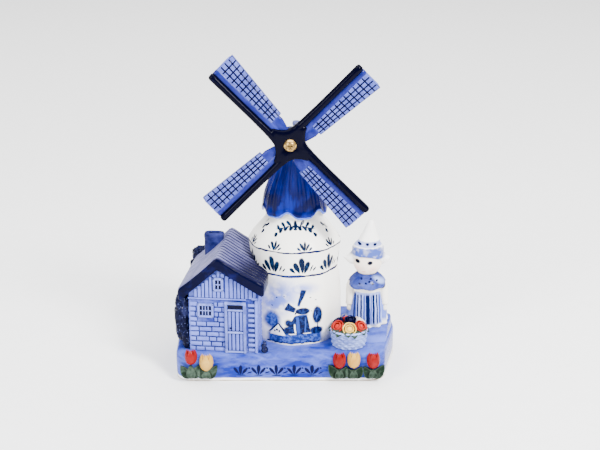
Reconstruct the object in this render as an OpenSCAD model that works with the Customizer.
// Delft-blue windmill souvenir: a slip-cast stoneware group on one plinth, with
// sails that spin on a brass screw. Millimetres, +Z up, front towards -Y.
// The origin is on the table, under the middle of the plinth.

/* [Plinth] */
// Height of the plinth at its front edge
plinth_h = 16; // [12:0.5:22]
// Half width of the plinth at its back corners
plinth_half_w = 61; // [54:1:74]
// Distance from the origin to the front face
plinth_front = 36; // [32:1:44]
// Distance from the origin to the back
plinth_back = 35; // [32:1:44]
// Radius of the two front corners
front_corner_r = 9; // [5:0.5:14]
// How far the left side is drawn in towards the front
left_inset = 1; // [0:0.5:8]
// How far the right side is drawn in towards the front
right_inset = 7; // [0:0.5:10]
// Width of the rounded top edge
plinth_edge = 2; // [1:0.25:3]
// Wall of every slip-cast hollow
wall = 3; // [2:0.25:4]
// Width of the foot ring that stands on the table
foot_w = 5; // [3:0.5:8]
// Height of the foot ring
foot_h = 1.2; // [0.6:0.2:2]
// Diameter of the kiln vent under the plinth
vent_d = 8; // [4:0.5:14]
// Height of the grassy mound above the plinth
mound_h = 4.5; // [2:0.5:8]
// Radius of the mound at its top
mound_r = 15.5; // [14:0.5:20]

/* [Tower] */
// Position of the tower's axis across the plinth
tower_x = 4.5; // [0:0.5:9]
// Corner radius of the tower where it is widest
tower_r = 27.6; // [24:0.2:30]
// Height of the tower above the plinth, up to its neck
tower_h = 74; // [66:1:86]
// Radius of the neck that the cap fits over
neck_r = 14; // [11:0.5:16]
// Turn of the eight-sided tower to the front
tower_turn = -8; // [-22:1:22]

/* [Cap] */
// Half width of the cap's thatch at its bottom edge
cap_r = 18.4; // [17:0.2:22]
// Height of the cap
cap_h = 44; // [40:1:54]
// How far the cap's edge hangs below the neck's top
cap_lap = 3; // [2:0.5:7]
// Diameter of the knob on the cap
finial_d = 4.4; // [3:0.2:5]
// Height of the knob
finial_h = 5.5; // [4:0.5:8]

/* [Sails] */
// Length of one sail from the pivot to its tip
sail_len = 54; // [44:0.5:56]
// Depth of the spars and the hub, front to back
sail_t = 6; // [4:0.25:8]
// Thickness of the lattice panels
panel_t = 3; // [2:0.25:4]
// Width of a panel at the tip, from the sail's centre line
tip_w = 11.8; // [9:0.2:14]
// Width of a panel at the root, from the sail's centre line
root_w = 6.5; // [5:0.2:8]
// Pitch of the panels, trailing edge backwards
pitch = 8; // [0:1:12]
// Radius of the hub
hub_r = 9; // [8:0.25:11]
// Height of the pivot above the cap's edge
pivot_up = 43; // [36:0.5:48]
// How far the pivot is left of the tower's axis
pivot_left = 2; // [0:0.5:3]
// Distance from the tower's axis to the sails' back
pivot_reach = 25; // [24:0.5:30]

/* [Pivot fastener] */
// Shank diameter of the brass screw
screw_d = 2.4; // [2:0.1:3]
// Length of the screw's shank
screw_len = 18; // [15:1:19]
// Diameter of the screw's countersunk head
screw_head_d = 4.3; // [3.8:0.1:5]
// Outer diameter of the cup washer
cup_d = 6.4; // [6:0.1:8]
// Thickness of the nylon spacer behind the sails
spacer_t = 0.8; // [0.5:0.1:1.5]
// Diameter of the nylon plug in the boss
plug_d = 4.8; // [4.2:0.1:6]
// Length of the nylon plug
plug_len = 12; // [8:1:14]

/* [Cottage] */
// Width of the cottage's front wall
cottage_w = 37; // [30:0.5:38]
// Depth of the cottage
cottage_d = 48; // [38:1:50]
// Height of the side walls
eaves_h = 31; // [26:0.5:38]
// Height of the roof's ridge above the plinth
ridge_h = 55; // [50:0.5:62]
// Thickness of the roof, measured upright
roof_t = 7.5; // [4:0.25:9]
// Overhang of the roof past the front and back walls
roof_over = 3; // [1:0.5:4]
// Width of the chimney
chimney_w = 11.2; // [7:0.2:11.6]
// Depth of the chimney, front to back
chimney_d = 7; // [5:0.5:10]
// How far the chimney rises above the ridge
chimney_rise = 2; // [0:0.5:5]
// Turn of the cottage, ridge away from the tower
cottage_turn = -6; // [-8:1:0]
// Width of the door with its frame
door_w = 11.6; // [9:0.2:14]
// Height of the door with its frame
door_h = 29; // [24:0.5:32]
// Width of the lower window with its frame
window_w = 8.4; // [7:0.2:11]
// Height of the lower window with its frame
window_h = 7.6; // [6:0.2:10]
// How far doors and windows stand proud of the wall
relief = 1; // [0.6:0.1:1.6]

/* [Milkmaid] */
// Radius of the skirt's hem
hem_r = 12; // [10:0.25:12.5]
// Height of the skirt
skirt_h = 18; // [15:0.5:22]
// Width of the apron
apron_w = 16; // [12:0.5:18]
// Thickness of the apron
apron_t = 1.1; // [0.8:0.1:1.6]
// Radius of the head
head_r = 8.2; // [7:0.1:9]
// Height of the pointed bonnet above the head's centre
bonnet_h = 23.5; // [18:0.5:26]

/* [Flowers] */
// Radius of the basket at its rim
basket_r = 10.4; // [8:0.2:11]
// Height of the basket
basket_h = 9.6; // [8:0.2:13]
// Radius of one rose in the basket
rose_r = 3.5; // [2.6:0.1:3.8]
// Width of a tulip cup
tulip_w = 7.4; // [6:0.2:8.5]
// Height of a tulip cup
tulip_h = 10; // [8:0.2:11]
// How far the tulips stand proud of the plinth
tulip_proud = 4.6; // [3:0.2:5.5]

/* [Hidden] */
// Slip joint between luted pieces, and the running and end clearances of the sails
lute = 0.05;
running = 0.1;
end_play = 0.15;
eps = 0.01;
$fn = 48;

plinth_top = plinth_h;
mound_top = plinth_h + mound_h;
back_corner_r = (plinth_front + plinth_back) * 0.38;
tower_top = plinth_top + tower_h;
cap_bottom = tower_top - cap_lap;
pivot_x = tower_x - pivot_left;
pivot_y = -pivot_reach;
pivot_z = cap_bottom + pivot_up;
boss_r = 5.5;
panel_root = hub_r + 3;
spar_out = 5.2;
spar_in = 1.2;
// The cottage leans on the tower and keeps its hedge on the plinth, whichever is further in.
cottage_reach = 38.2;
cottage_edge = 27.3;
cottage_proud = 2.8;
cottage_at = [max(tower_x - cottage_reach, cottage_edge - plinth_half_w),
    cottage_proud - plinth_front];
apex_shift = -2.4;
left_eave = [-cottage_w / 2 - 5, eaves_h + 6];
right_eave = [cottage_w / 2 + 4, eaves_h + 9.5];
maid_gap = 0.9;
maid_at = [tower_x + tower_r + maid_gap + hem_r, 0];
mound_at = maid_at + [1.5, 2];
waist_z = mound_top + skirt_h;
head_z = waist_z + 10.3 + head_r;
basket_at = [maid_at[0] - 10.8, 13 - plinth_front];
basket_top = plinth_top + basket_h;

// ---- Outlines -------------------------------------------------------------

// Points along an arc, anticlockwise from angle a0 to a1.
function arc(c, r, a0, a1, n = 8) =
    [for (i = [0 : n]) let (a = a0 + (a1 - a0) * i / n) c + r * [cos(a), sin(a)]];

// Direction of the outward normal where a straight side leaves circle p for circle q.
function side_normal(p, q) =
    let (d = [q[0] - p[0], q[1] - p[1]])
    atan2(d[1], d[0]) - acos((p[2] - q[2]) / norm(d));

// Outline of a belt stretched round circles [x, y, r], listed anticlockwise.
function belt(circles) =
    let (n = len(circles))
    [for (i = [0 : n - 1])
        let (c = circles[i],
             a0 = side_normal(circles[(i + n - 1) % n], c),
             a1 = side_normal(c, circles[(i + 1) % n]))
        each arc([c[0], c[1]], c[2], a0, a1 < a0 ? a1 + 360 : a1)];

// The plinth's four corners, with every radius taken in by inset.
function plinth_corners(inset = 0) =
    let (fx = plinth_half_w - front_corner_r,
         fy = plinth_front - front_corner_r,
         bx = plinth_half_w - back_corner_r,
         by = plinth_back - back_corner_r)
    [[left_inset - fx, -fy, front_corner_r - inset],
     [fx - right_inset, -fy, front_corner_r - inset],
     [bx, by, back_corner_r - inset], [-bx, by, back_corner_r - inset]];

module plinth_outline(inset = 0) {
    polygon(belt(plinth_corners(inset)));
}

// Smooth step from 0 to 1, used to shape the lofts.
function ease(t) = t * t * (3 - 2 * t);

// A closed skin through rings that all have n points.
module skin(rings, n) {
    m = len(rings);
    polyhedron(
        points = [for (r = rings) each r],
        faces = concat(
            [[for (j = [0 : n - 1]) j]],
            [for (i = [0 : m - 2], j = [0 : n - 1])
                let (k = (j + 1) % n) [i * n + k, i * n + j, (i + 1) * n + j]],
            [for (i = [0 : m - 2], j = [0 : n - 1])
                let (k = (j + 1) % n) [i * n + k, (i + 1) * n + j, (i + 1) * n + k]],
            [[for (j = [n - 1 : -1 : 0]) (m - 1) * n + j]]));
}

// ---- Plinth ---------------------------------------------------------------

module plinth_body() {
    linear_extrude(plinth_h - plinth_edge) plinth_outline();
    hull() {
        translate([0, 0, plinth_h - plinth_edge - eps])
            linear_extrude(eps) plinth_outline();
        translate([0, 0, plinth_h - eps])
            linear_extrude(eps) plinth_outline(plinth_edge);
    }
}

// Grassy mound that the milkmaid stands on, kept inside the plinth's outline.
module mound() {
    difference() {
        intersection() {
            translate([mound_at[0], mound_at[1], plinth_top - wall])
                cylinder(h = mound_h + wall, r1 = mound_r + mound_h + wall, r2 = mound_r);
            linear_extrude(mound_top) plinth_outline(plinth_edge);
        }
        tower_form(lute);
        basket_form(lute);
    }
}

// Middles of the vents that join each hollow to the plinth's.
function kiln_vents() = [[tower_x, 0], [cottage_at[0], cottage_at[1] + cottage_d / 2], maid_at];

module base_plinth() {
    color("#5f7fca") difference() {
        union() {
            plinth_body();
            mound();
        }
        translate([0, 0, foot_h + wall])
            linear_extrude(plinth_h - foot_h - 2 * wall) plinth_outline(wall);
        translate([0, 0, -eps]) linear_extrude(foot_h + eps) plinth_outline(foot_w);
        cylinder(h = foot_h + 2 * wall, d = vent_d);
        for (v = kiln_vents())
            translate([v[0], v[1], plinth_h - 2 * wall])
                cylinder(h = mound_h + 3 * wall, d = vent_d);
    }
}

// ---- Tower and cap ----------------------------------------------------------

// Tower's outer outline as [radius, height above the plinth]: belly, two collar lines, slope.
function tower_profile() = [
    [tower_r - 1.4, 0], [tower_r - 0.3, tower_h * 0.06], [tower_r, tower_h * 0.2],
    [tower_r - 0.2, tower_h * 0.38], [tower_r - 1.5, tower_h * 0.48],
    [tower_r - 2.3, tower_h * 0.52], [tower_r - 2.1, tower_h * 0.56],
    [tower_r - 0.6, tower_h * 0.69], [tower_r - 0.4, tower_h * 0.715],
    [tower_r - 1.1, tower_h * 0.735], [neck_r + 7, tower_h * 0.83],
    [neck_r + 2.6, tower_h * 0.9], [neck_r, tower_h * 0.95], [neck_r, tower_h]];

// The tower as an eight-sided solid, grown by grow, with corners on the profile.
module tower_form(grow = 0) {
    translate([tower_x, 0, plinth_top]) rotate(tower_turn)
        rotate_extrude($fn = 8)
            polygon(concat([[0, -grow]],
                [for (p = tower_profile()) [p[0] + grow, p[1]]],
                [[0, tower_h]]));
}

module tower_hollow() {
    translate([tower_x, 0, plinth_top]) rotate(tower_turn)
        rotate_extrude($fn = 8)
            polygon(concat([[0, -eps]],
                [for (p = tower_profile()) [p[0] - wall, p[1] == 0 ? -eps : p[1]]],
                [[neck_r - wall, tower_h + eps], [0, tower_h + eps]]));
}

// Ring of the tower at radius r and height z, its eight corners rounded off.
function tower_ring(r, z) =
    let (soft = 0.35 * r)
    [for (k = [0 : 7], s = [-22.5 : 15 : 22.5])
        let (c = (r - soft / cos(22.5)) * [cos(45 * k), sin(45 * k)],
             p = c + soft * [cos(45 * k + s), sin(45 * k + s)])
        [p[0], p[1], z]];

module tower_shell() {
    color("#f4f1ea") difference() {
        translate([tower_x, 0, plinth_top]) rotate(tower_turn)
            skin([for (p = tower_profile()) tower_ring(p[0], p[1])], 32);
        tower_hollow();
    }
}

// The cap's half width, and its reach to the front and to the back, at share t of its height.
function cap_half(t) = cap_r * (1 - 0.78 * t + 0.18 * sin(180 * t) * (0.5 - t));
function cap_front(t) = cap_r * (1 - 0.16 * t);
function cap_rear(t) = cap_r * (1 - 0.62 * ease(t));

// Ring of the cap at share t, drawn in to close the top.
function cap_ring(t, inset = 0, n = 40) =
    let (close = t > 0.9 ? sqrt(max(0.02, 1 - pow((t - 0.9) / 0.102, 2))) : 1,
         w = max(0.6, (cap_half(t) - inset) * close),
         f = max(0.6, (cap_front(t) - inset) * close),
         b = max(0.6, (cap_rear(t) - inset) * close))
    [for (j = [0 : n - 1])
        let (a = 360 * j / n)
        [tower_x + w * cos(a), (sin(a) < 0 ? f : b) * sin(a), cap_bottom + cap_h * t]];

module cap_form(inset = 0, last = 20) {
    skin([for (i = [0 : last]) cap_ring(i / 20, inset)], 40);
}

// Puts children in the sails' frame: x to the right, y up, z to the front, from the sails' back.
module at_pivot() {
    translate([pivot_x, pivot_y, pivot_z]) rotate([90, 0, 0]) children();
}

boss_back = -(spacer_t + end_play);
// The boss is rooted in the cap's front, and is always longer than the plug it holds.
boss_root = 4;
boss_end = 0.9;
boss_len = max(pivot_reach - cap_front(0.8) + boss_root, plug_len + boss_end);

module cap_shell() {
    color("#2a4fc0") difference() {
        cap_form();
        // Socket over the neck, and the hollow above it.
        translate([tower_x, 0, cap_bottom - eps])
            cylinder(h = cap_lap + eps, r = neck_r + lute);
        translate([tower_x, 0, tower_top - eps])
            cylinder(h = cap_h * 0.45, r1 = neck_r - wall, r2 = 3);
        at_pivot() translate([0, 0, boss_back - boss_len - eps])
            cylinder(h = boss_len + pivot_reach, r = boss_r + lute);
    }
}

module cap_finial() {
    foot = cap_bottom + cap_h - 2;
    color("#8d92b8") difference() {
        translate([tower_x + 1, 1, foot]) {
            cylinder(h = finial_h, d = finial_d);
            translate([0, 0, finial_h]) cylinder(h = 1.4, d1 = finial_d, d2 = finial_d * 0.6);
        }
        cap_form(-lute);
    }
}

// Round boss that carries the sails clear of the cap, drilled for the plug.
module shaft_boss() {
    color("#22409c") at_pivot() translate([0, 0, boss_back - boss_len]) difference() {
        cylinder(h = boss_len, r = boss_r);
        translate([0, 0, boss_len - plug_len]) cylinder(h = plug_len + eps, d = plug_d + 2 * lute);
    }
}

// ---- Sails ------------------------------------------------------------------

// One sail along +x: a square spar on the leading side, a pitched lattice panel behind it.
module sail() {
    translate([0, spar_in, 0]) cube([sail_len, spar_out - spar_in, sail_t]);
    translate([0, spar_in + lute, 0.8]) rotate([pitch, 0, 0])
        linear_extrude(panel_t)
            polygon(belt([[panel_root + 3, 3 - root_w - spar_in, 3],
                [sail_len - 2, 2 - tip_w - spar_in, 2],
                [sail_len - 0.2, -0.2, 0.2], [panel_root + 0.2, -0.2, 0.2]]));
    translate([0, -spar_out, 0]) cube([panel_root + 1, spar_out + spar_in, sail_t]);
}

module sail_cross() {
    color("#1c2a6b") at_pivot() difference() {
        union() {
            cylinder(h = sail_t, r = hub_r);
            for (i = [0 : 3]) rotate(45 + 90 * i) sail();
        }
        translate([0, 0, -eps]) cylinder(h = sail_t + 2 * eps, d = screw_d + 2 * running);
    }
}

module pivot_screw() {
    head_h = (screw_head_d - screw_d) / 2;
    seat = sail_t + end_play + 0.2;
    color("#caa24a") at_pivot() difference() {
        union() {
            translate([0, 0, seat + head_h - screw_len]) cylinder(h = screw_len, d = screw_d);
            translate([0, 0, seat]) cylinder(h = head_h, d1 = screw_d, d2 = screw_head_d);
            translate([0, 0, seat + head_h - eps])
                cylinder(h = 0.35, d1 = screw_head_d, d2 = screw_head_d * 0.72);
        }
        for (a = [0, 90]) rotate(a)
            translate([-screw_head_d * 0.32, -0.3, seat + 0.15])
                cube([screw_head_d * 0.64, 0.6, head_h + 1]);
    }
}

module cup_washer() {
    head_h = (screw_head_d - screw_d) / 2;
    color("#e2c678") at_pivot() translate([0, 0, sail_t + end_play])
        difference() {
            union() {
                cylinder(h = 0.5, d = cup_d);
                translate([0, 0, 0.5]) cylinder(h = head_h - 0.1, d1 = cup_d, d2 = screw_head_d + 0.7);
            }
            translate([0, 0, -eps]) cylinder(h = 3, d = screw_d + 2 * lute);
            translate([0, 0, 0.2]) cylinder(h = 3, d1 = screw_d + 2 * lute,
                d2 = screw_d + 2 * lute + 6);
        }
}

module spacer_washer() {
    color("#e9e9e4") at_pivot() translate([0, 0, boss_back]) difference() {
        cylinder(h = spacer_t, d = cup_d + 1);
        translate([0, 0, -eps]) cylinder(h = spacer_t + 2 * eps, d = screw_d + 2 * running);
    }
}

module wall_plug() {
    color("#b9bcc4") at_pivot() translate([0, 0, boss_back - plug_len]) difference() {
        cylinder(h = plug_len, d = plug_d);
        translate([0, 0, -eps]) cylinder(h = plug_len + 2 * eps, d = screw_d + 2 * lute);
    }
}

// ---- Cottage ------------------------------------------------------------------

// Puts children in the cottage's frame: x across the front, y up, z to the front wall's back.
module at_cottage() {
    translate([cottage_at[0], cottage_at[1], plinth_top]) rotate(cottage_turn)
        rotate([90, 0, 0]) children();
}

// Underside of the roof, which the walls reach up to.
function ceiling() = [[cottage_w / 2, eaves_h], [apex_shift, ridge_h - roof_t - 0.4],
    [-cottage_w / 2, eaves_h]];

module cottage_form(grow = 0) {
    at_cottage() translate([0, 0, -cottage_d - grow]) linear_extrude(cottage_d + 2 * grow)
        polygon(concat([[-cottage_w / 2 - grow, -grow], [cottage_w / 2 + grow, -grow]],
            [for (p = ceiling()) p + [sign(p[0] - apex_shift) * grow, grow]]));
}

module roof_form(grow = 0) {
    drop = roof_t * 0.7;
    under = ceiling();
    at_cottage() translate([0, 0, -cottage_d - roof_over - grow])
        linear_extrude(cottage_d + 2 * roof_over + 2 * grow)
            polygon([right_eave + [grow, grow], [apex_shift, ridge_h + grow],
                left_eave + [-grow, grow], left_eave + [0.8 - grow, -drop],
                under[2] + [0, lute], under[1] + [0, lute], under[0] + [0, lute],
                right_eave + [grow - 2.6, -drop]]);
}

module cottage_walls() {
    color("#8fa6e6") difference() {
        cottage_form();
        at_cottage() translate([0, wall, wall - cottage_d])
            linear_extrude(cottage_d - 2 * wall)
                polygon([[wall - cottage_w / 2, 0], [cottage_w / 2 - wall, 0],
                    [cottage_w / 2 - wall, eaves_h - 2 * wall],
                    [apex_shift, ridge_h - roof_t - 3 * wall],
                    [wall - cottage_w / 2, eaves_h - 2 * wall]]);
        tower_form(lute);
        translate([kiln_vents()[1][0], kiln_vents()[1][1], plinth_top - eps])
            cylinder(h = 2 * wall, d = vent_d);
    }
}

module cottage_roof() {
    color("#7f8cc8") difference() {
        roof_form();
        tower_form(lute);
    }
}

module cottage_chimney() {
    color("#27336f") difference() {
        at_cottage() translate([apex_shift - 12.4, eaves_h, -cottage_d * 0.75])
            cube([chimney_w, ridge_h - eaves_h + chimney_rise, chimney_d]);
        roof_form(lute);
        cottage_form(lute);
    }
}

// A frame w by h with bars cells across and rows cells up, standing proud of the wall.
module framed_window(w, h, cells, rows, bar = 0.7) {
    border = 1.1;
    cell_w = (w - 2 * border - (cells - 1) * bar) / cells;
    cell_h = (h - 2 * border - (rows - 1) * bar) / rows;
    difference() {
        linear_extrude(relief) square([w, h]);
        for (i = [0 : cells - 1], j = [0 : rows - 1])
            translate([border + i * (cell_w + bar), border + j * (cell_h + bar), relief * 0.4])
                cube([cell_w, cell_h, relief]);
    }
}

module cottage_window() {
    color("#dfe5fb") at_cottage() translate([-cottage_w / 2 + 5, eaves_h - window_h - 3.4, lute])
        framed_window(window_w, window_h, 4, 2, 0.5);
}

module gable_window() {
    color("#dfe5fb") at_cottage() translate([apex_shift - 2.2, eaves_h + 4.5, lute])
        framed_window(4.8, 6.8, 2, 2);
}

// Dutch door: a frame with a light over it, and two boarded leaves one above the other.
module cottage_door() {
    post = 1.5;
    leaf_w = door_w - 2 * post;
    light_h = 3;
    leaf_h = (door_h - light_h - 4 * post) / 2;
    color("#cfd9f8") at_cottage() translate([1, 0, lute]) difference() {
        linear_extrude(relief) square([door_w, door_h]);
        for (z = [post, 2 * post + leaf_h])
            translate([post, z, relief * 0.5]) cube([leaf_w, leaf_h, relief]);
        translate([post, door_h - post - light_h, relief * 0.3]) cube([leaf_w, light_h, relief]);
        for (i = [1 : 3], z = [post, 2 * post + leaf_h])
            translate([post + i * leaf_w / 4 - 0.2, z, relief * 0.3]) cube([0.4, leaf_h, relief]);
    }
}

// ---- Greenery -------------------------------------------------------------------

// What the greenery round the cottage is cut back to: plinth, walls and roof.
module cottage_plot() {
    translate([0, 0, plinth_top - 20]) cube([200, 200, 40], center = true);
    cottage_form(lute);
    roof_form(lute);
}

// Clipped hedge along the cottage's outer side.
module side_hedge() {
    side = -cottage_w / 2 - 2.6;
    color("#1d2350") difference() {
        at_cottage() hull() {
            translate([side, 6, -8]) sphere(6, $fn = 24);
            translate([side, 5, -24]) sphere(6, $fn = 24);
            translate([side, eaves_h - 3, -8]) sphere(5.4, $fn = 24);
            translate([side, eaves_h - 3, -22]) sphere(5.4, $fn = 24);
        }
        cottage_plot();
    }
}

// Round-headed tree behind the cottage.
module rear_tree() {
    color("#2a2f6a") difference() {
        at_cottage() translate([-cottage_w / 2, 0, -cottage_d - roof_over - 3]) hull() {
            translate([0.6, 5, 0]) sphere(4.4, $fn = 28);
            translate([-0.4, eaves_h + 6, 0]) sphere(5.6, $fn = 28);
        }
        cottage_plot();
    }
}

// Little clipped bush between the cottage's door and the tower.
module corner_shrub() {
    color("#31488f") difference() {
        at_cottage() translate([cottage_w / 2 + 3.6, 0, -0.6]) {
            translate([0, 2, 0]) sphere(2.2, $fn = 64);
            translate([0, 5.4, 0]) sphere(1.7, $fn = 64);
        }
        cottage_plot();
        tower_form(lute);
    }
}

// ---- Milkmaid ---------------------------------------------------------------------

// Puts children on the mound, where the milkmaid stands.
module at_maid() {
    translate([maid_at[0], maid_at[1], 0]) children();
}

function skirt_profile() = [[hem_r, 0], [hem_r - 0.2, skirt_h * 0.2], [hem_r * 0.9, skirt_h * 0.5],
    [hem_r * 0.76, skirt_h * 0.82], [hem_r * 0.66, skirt_h]];

// Solid of revolution on the milkmaid's axis, from points [radius, height], grown by grow.
module turned(profile, z, grow = 0) {
    last = profile[len(profile) - 1];
    at_maid() translate([0, 0, z]) rotate_extrude()
        polygon(concat([[0, 0]], [for (p = profile) [p[0] + grow, p[1]]], [[0, last[1]]]));
}

module skirt_form(grow = 0) {
    turned(skirt_profile(), mound_top, grow);
}

function bodice_profile() = [[hem_r * 0.66, 0], [hem_r * 0.73, 4.2], [hem_r * 0.62, 7.6], [4.4, 10], [4.4, 12.2]];

module bodice_form(grow = 0) {
    turned(bodice_profile(), waist_z, grow);
}

module head_form(grow = 0) {
    at_maid() translate([0, 0, head_z]) sphere(head_r + grow, $fn = 64);
}

module maid_skirt() {
    color("#a9bbee") difference() {
        skirt_form();
        turned([for (p = skirt_profile()) [p[0] - wall, p[1] * 0.8]], mound_top - eps);
    }
}

module maid_bodice() {
    color("#e9e6e2") difference() {
        bodice_form();
        head_form(lute);
    }
}

// Striped apron laid on the front of the skirt.
module apron_form(grow = 0) {
    intersection() {
        skirt_form(apron_t + grow);
        at_maid() translate([-apron_w / 2 - grow, -hem_r - 2, mound_top + 2.2 - grow])
            cube([apron_w + 2 * grow, hem_r - 1 + grow, skirt_h - 2.4 + 2 * grow]);
    }
}

module maid_apron() {
    color("#7f97dd") difference() {
        apron_form();
        skirt_form(lute);
    }
}

// Two sleeves with hands, hanging at the sides.
module maid_arms() {
    color("#efece8") difference() {
        for (s = [-1, 1]) at_maid() hull() {
            translate([s * (hem_r - 3.6), -0.6, waist_z + 4]) sphere(2.6, $fn = 24);
            translate([s * (hem_r - 2.4), -3.4, waist_z - 8]) sphere(2.2, $fn = 24);
        }
        skirt_form(lute);
        apron_form(lute);
        bodice_form(lute);
        tower_form(lute);
    }
}

module scarf_form(grow = 0) {
    turned([[hem_r * 0.8, 0], [hem_r * 0.87, 0.9], [hem_r * 0.84, 3.4], [hem_r * 0.55, 6.6],
        [hem_r * 0.46, 7]], waist_z + 3.6, grow);
}

module maid_scarf() {
    color("#5d7cc8") difference() {
        scarf_form();
        bodice_form(lute);
        head_form(lute);
        at_maid() for (s = [-1, 1]) hull() {
            translate([s * (hem_r - 3.6), -0.6, waist_z + 4]) sphere(2.6 + lute, $fn = 24);
            translate([s * (hem_r - 2.4), -3.4, waist_z - 8]) sphere(2.2 + lute, $fn = 24);
        }
    }
}

module maid_head() {
    color("#f6e9dd") head_form();
}

// Pointed lace bonnet with a turned-up wing at each side, open over the face.
module maid_bonnet() {
    shell = 1.1;
    color("#f1f2f6") difference() {
        at_maid() translate([0, 0, head_z]) {
            difference() {
                union() {
                    sphere(head_r + shell, $fn = 64);
                    translate([0, 0, 3]) rotate([0, 5, 0])
                        cylinder(h = bonnet_h - 3, r1 = head_r - 0.2, r2 = 1);
                }
                rotate([-35, 0, 0]) translate([0, 0, -head_r * 2 - 0.4])
                    cube(head_r * 4, center = true);
            }
            for (s = [-1, 1]) hull() {
                translate([s * (head_r + 0.6), -1, 0.6]) sphere(1.7, $fn = 20);
                translate([s * (head_r + 4), -2.5, 2.4]) sphere(0.7, $fn = 20);
            }
        }
        head_form(lute);
        tower_form(lute);
    }
}

// ---- Basket of roses ----------------------------------------------------------------

module basket_form(grow = 0) {
    translate([basket_at[0], basket_at[1], plinth_top])
        cylinder(h = basket_h + grow, r1 = basket_r - 1.7 + grow, r2 = basket_r + grow);
}

module basket() {
    color("#c9d6f6") difference() {
        basket_form();
        translate([basket_at[0], basket_at[1], basket_top - 1.6])
            cylinder(h = 4, r = basket_r - 1.6);
    }
}

// Places of the roses: an inner one on top and a ring leaning outwards below it.
function rose_spot(i) = let (a = -90 + 60 * i, r = basket_r - rose_r + 0.2)
    [basket_at[0] + r * cos(a), basket_at[1] + r * sin(a), basket_top + 1.9];
rose_top = [basket_at[0], basket_at[1], basket_top + 4.6];

module roses(spots) {
    for (s = spots) translate(s) sphere(rose_r, $fn = 32);
}

// Roses that are cut back where earlier ones and the basket already are.
module rose_group(spots, earlier) {
    difference() {
        roses(spots);
        for (s = earlier) translate(s) sphere(rose_r + lute, $fn = 32);
        basket_cut();
    }
}

// What the roses are cut back to: everything below the bed of leaves.
module basket_cut() {
    translate([basket_at[0], basket_at[1], basket_top + 1.2 - 10 + lute])
        cube([60, 60, 20], center = true);
}

module roses_yellow() {
    color("#f1cf4e") rose_group([rose_spot(0)], []);
}

module roses_red() {
    color("#d3322c") rose_group([rose_spot(1), rose_spot(5), rose_spot(3)], [rose_spot(0)]);
}

module roses_white() {
    color("#f4ddd6") rose_group([rose_spot(2)], [rose_spot(1), rose_spot(3)]);
}

module roses_blue() {
    color("#26265e") {
        rose_group([rose_spot(4)], [rose_spot(3), rose_spot(5)]);
        rose_group([rose_top], [for (i = [0 : 5]) rose_spot(i)]);
    }
}

// Bed of leaves that fills the rim and spills a little over it.
module basket_leaves() {
    color("#3d5a3c") translate([basket_at[0], basket_at[1], basket_top]) {
        translate([0, 0, -1.6]) cylinder(h = 1.6, r = basket_r - 1.6 - lute);
        cylinder(h = 1.2, r = basket_r + 0.4);
    }
}

// ---- Tulips ----------------------------------------------------------------------------

// Egg-shaped cup, widest below its middle, lying against the plinth's front.
module tulip_cup(x, z, w, h) {
    difference() {
        translate([x, -plinth_front - tulip_proud / 2 + 1, z])
            rotate_extrude() polygon(concat([[0, h / 2]],
                [for (a = [80 : -20 : -80])
                    [w / 2 * cos(a) * (1 - 0.12 * sin(a)), h / 2 * sin(a)]], [[0, -h / 2]]));
        plinth_cut();
    }
}

// What the tulips and their leaves are cut back to: the plinth, a slip joint away.
module plinth_cut() {
    translate([0, 0, -eps]) linear_extrude(plinth_h + 12) plinth_outline(-lute);
}

// The cups as [place from the plinth's middle, height of the cup's middle, scale].
left_end = -plinth_half_w;
right_end = plinth_half_w - right_inset;
red_tulips = [[left_end + 9.8, plinth_h - 1.2, 0.94], [right_end - 25.3, plinth_h - 3.2, 1],
    [right_end - 7, plinth_h - 3.2, 1.02]];
yellow_tulips = [[left_end + 18, plinth_h - 4.6, 1.06], [right_end - 17.5, plinth_h - 3.2, 1]];

module tulips(list) {
    for (t = list) tulip_cup(t[0], t[1], t[2] * tulip_w, t[2] * tulip_h);
}

module tulips_red() {
    color("#d8342b") tulips(red_tulips);
}

module tulips_yellow() {
    color("#efc552") tulips(yellow_tulips);
}

// Pointed leaf of length l, rising from the foot at x and leaning by lean.
module leaf(x, lean, l, w) {
    edge = [for (t = [0 : 0.125 : 1]) [w / 2 * sin(180 * pow(t, 0.7)), l * t]];
    translate([x, 1.5 - plinth_front, foot_h + 1.6]) rotate([90, 0, 0]) rotate(lean)
        linear_extrude(tulip_proud - 0.4)
            polygon(concat(edge, [for (i = [7 : -1 : 1]) [-edge[i][0], edge[i][1]]]));
}

// A fan of three leaves under each cup, cut clear of the cups and the plinth.
module leaf_fans(cups) {
    difference() {
        for (t = cups) {
            leaf(t[0], 0, tulip_h * 0.8, tulip_w * 0.8);
            for (s = [-1, 1]) leaf(t[0] + s * 0.6, -s * 36, tulip_h, tulip_w * 0.7);
        }
        plinth_cut();
        translate([0, 0, lute - 10]) cube([200, 200, 20], center = true);
        for (t = cups) translate([t[0], 1 - plinth_front - tulip_proud / 2, t[1]])
            cylinder(h = t[2] * tulip_h + 2 * lute, d = t[2] * tulip_w + 2 * lute, center = true);
    }
}

module tulip_leaves_left() {
    color("#3f6a45") leaf_fans([red_tulips[0], yellow_tulips[0]]);
}

module tulip_leaves_right() {
    color("#3f6a45") leaf_fans([red_tulips[1], yellow_tulips[1], red_tulips[2]]);
}

// ---- Nodes -------------------------------------------------------------------------------

base_plinth();
tower_shell();
cap_shell();
cap_finial();
shaft_boss();
cottage_walls();
cottage_roof();
cottage_chimney();
cottage_door();
cottage_window();
gable_window();
side_hedge();
rear_tree();
corner_shrub();
maid_skirt();
maid_bodice();
maid_apron();
maid_arms();
maid_scarf();
maid_head();
maid_bonnet();
basket();
basket_leaves();
roses_red();
roses_yellow();
roses_blue();
roses_white();
tulips_red();
tulips_yellow();
tulip_leaves_left();
tulip_leaves_right();
sail_cross();
pivot_screw();
cup_washer();
spacer_washer();
wall_plug();
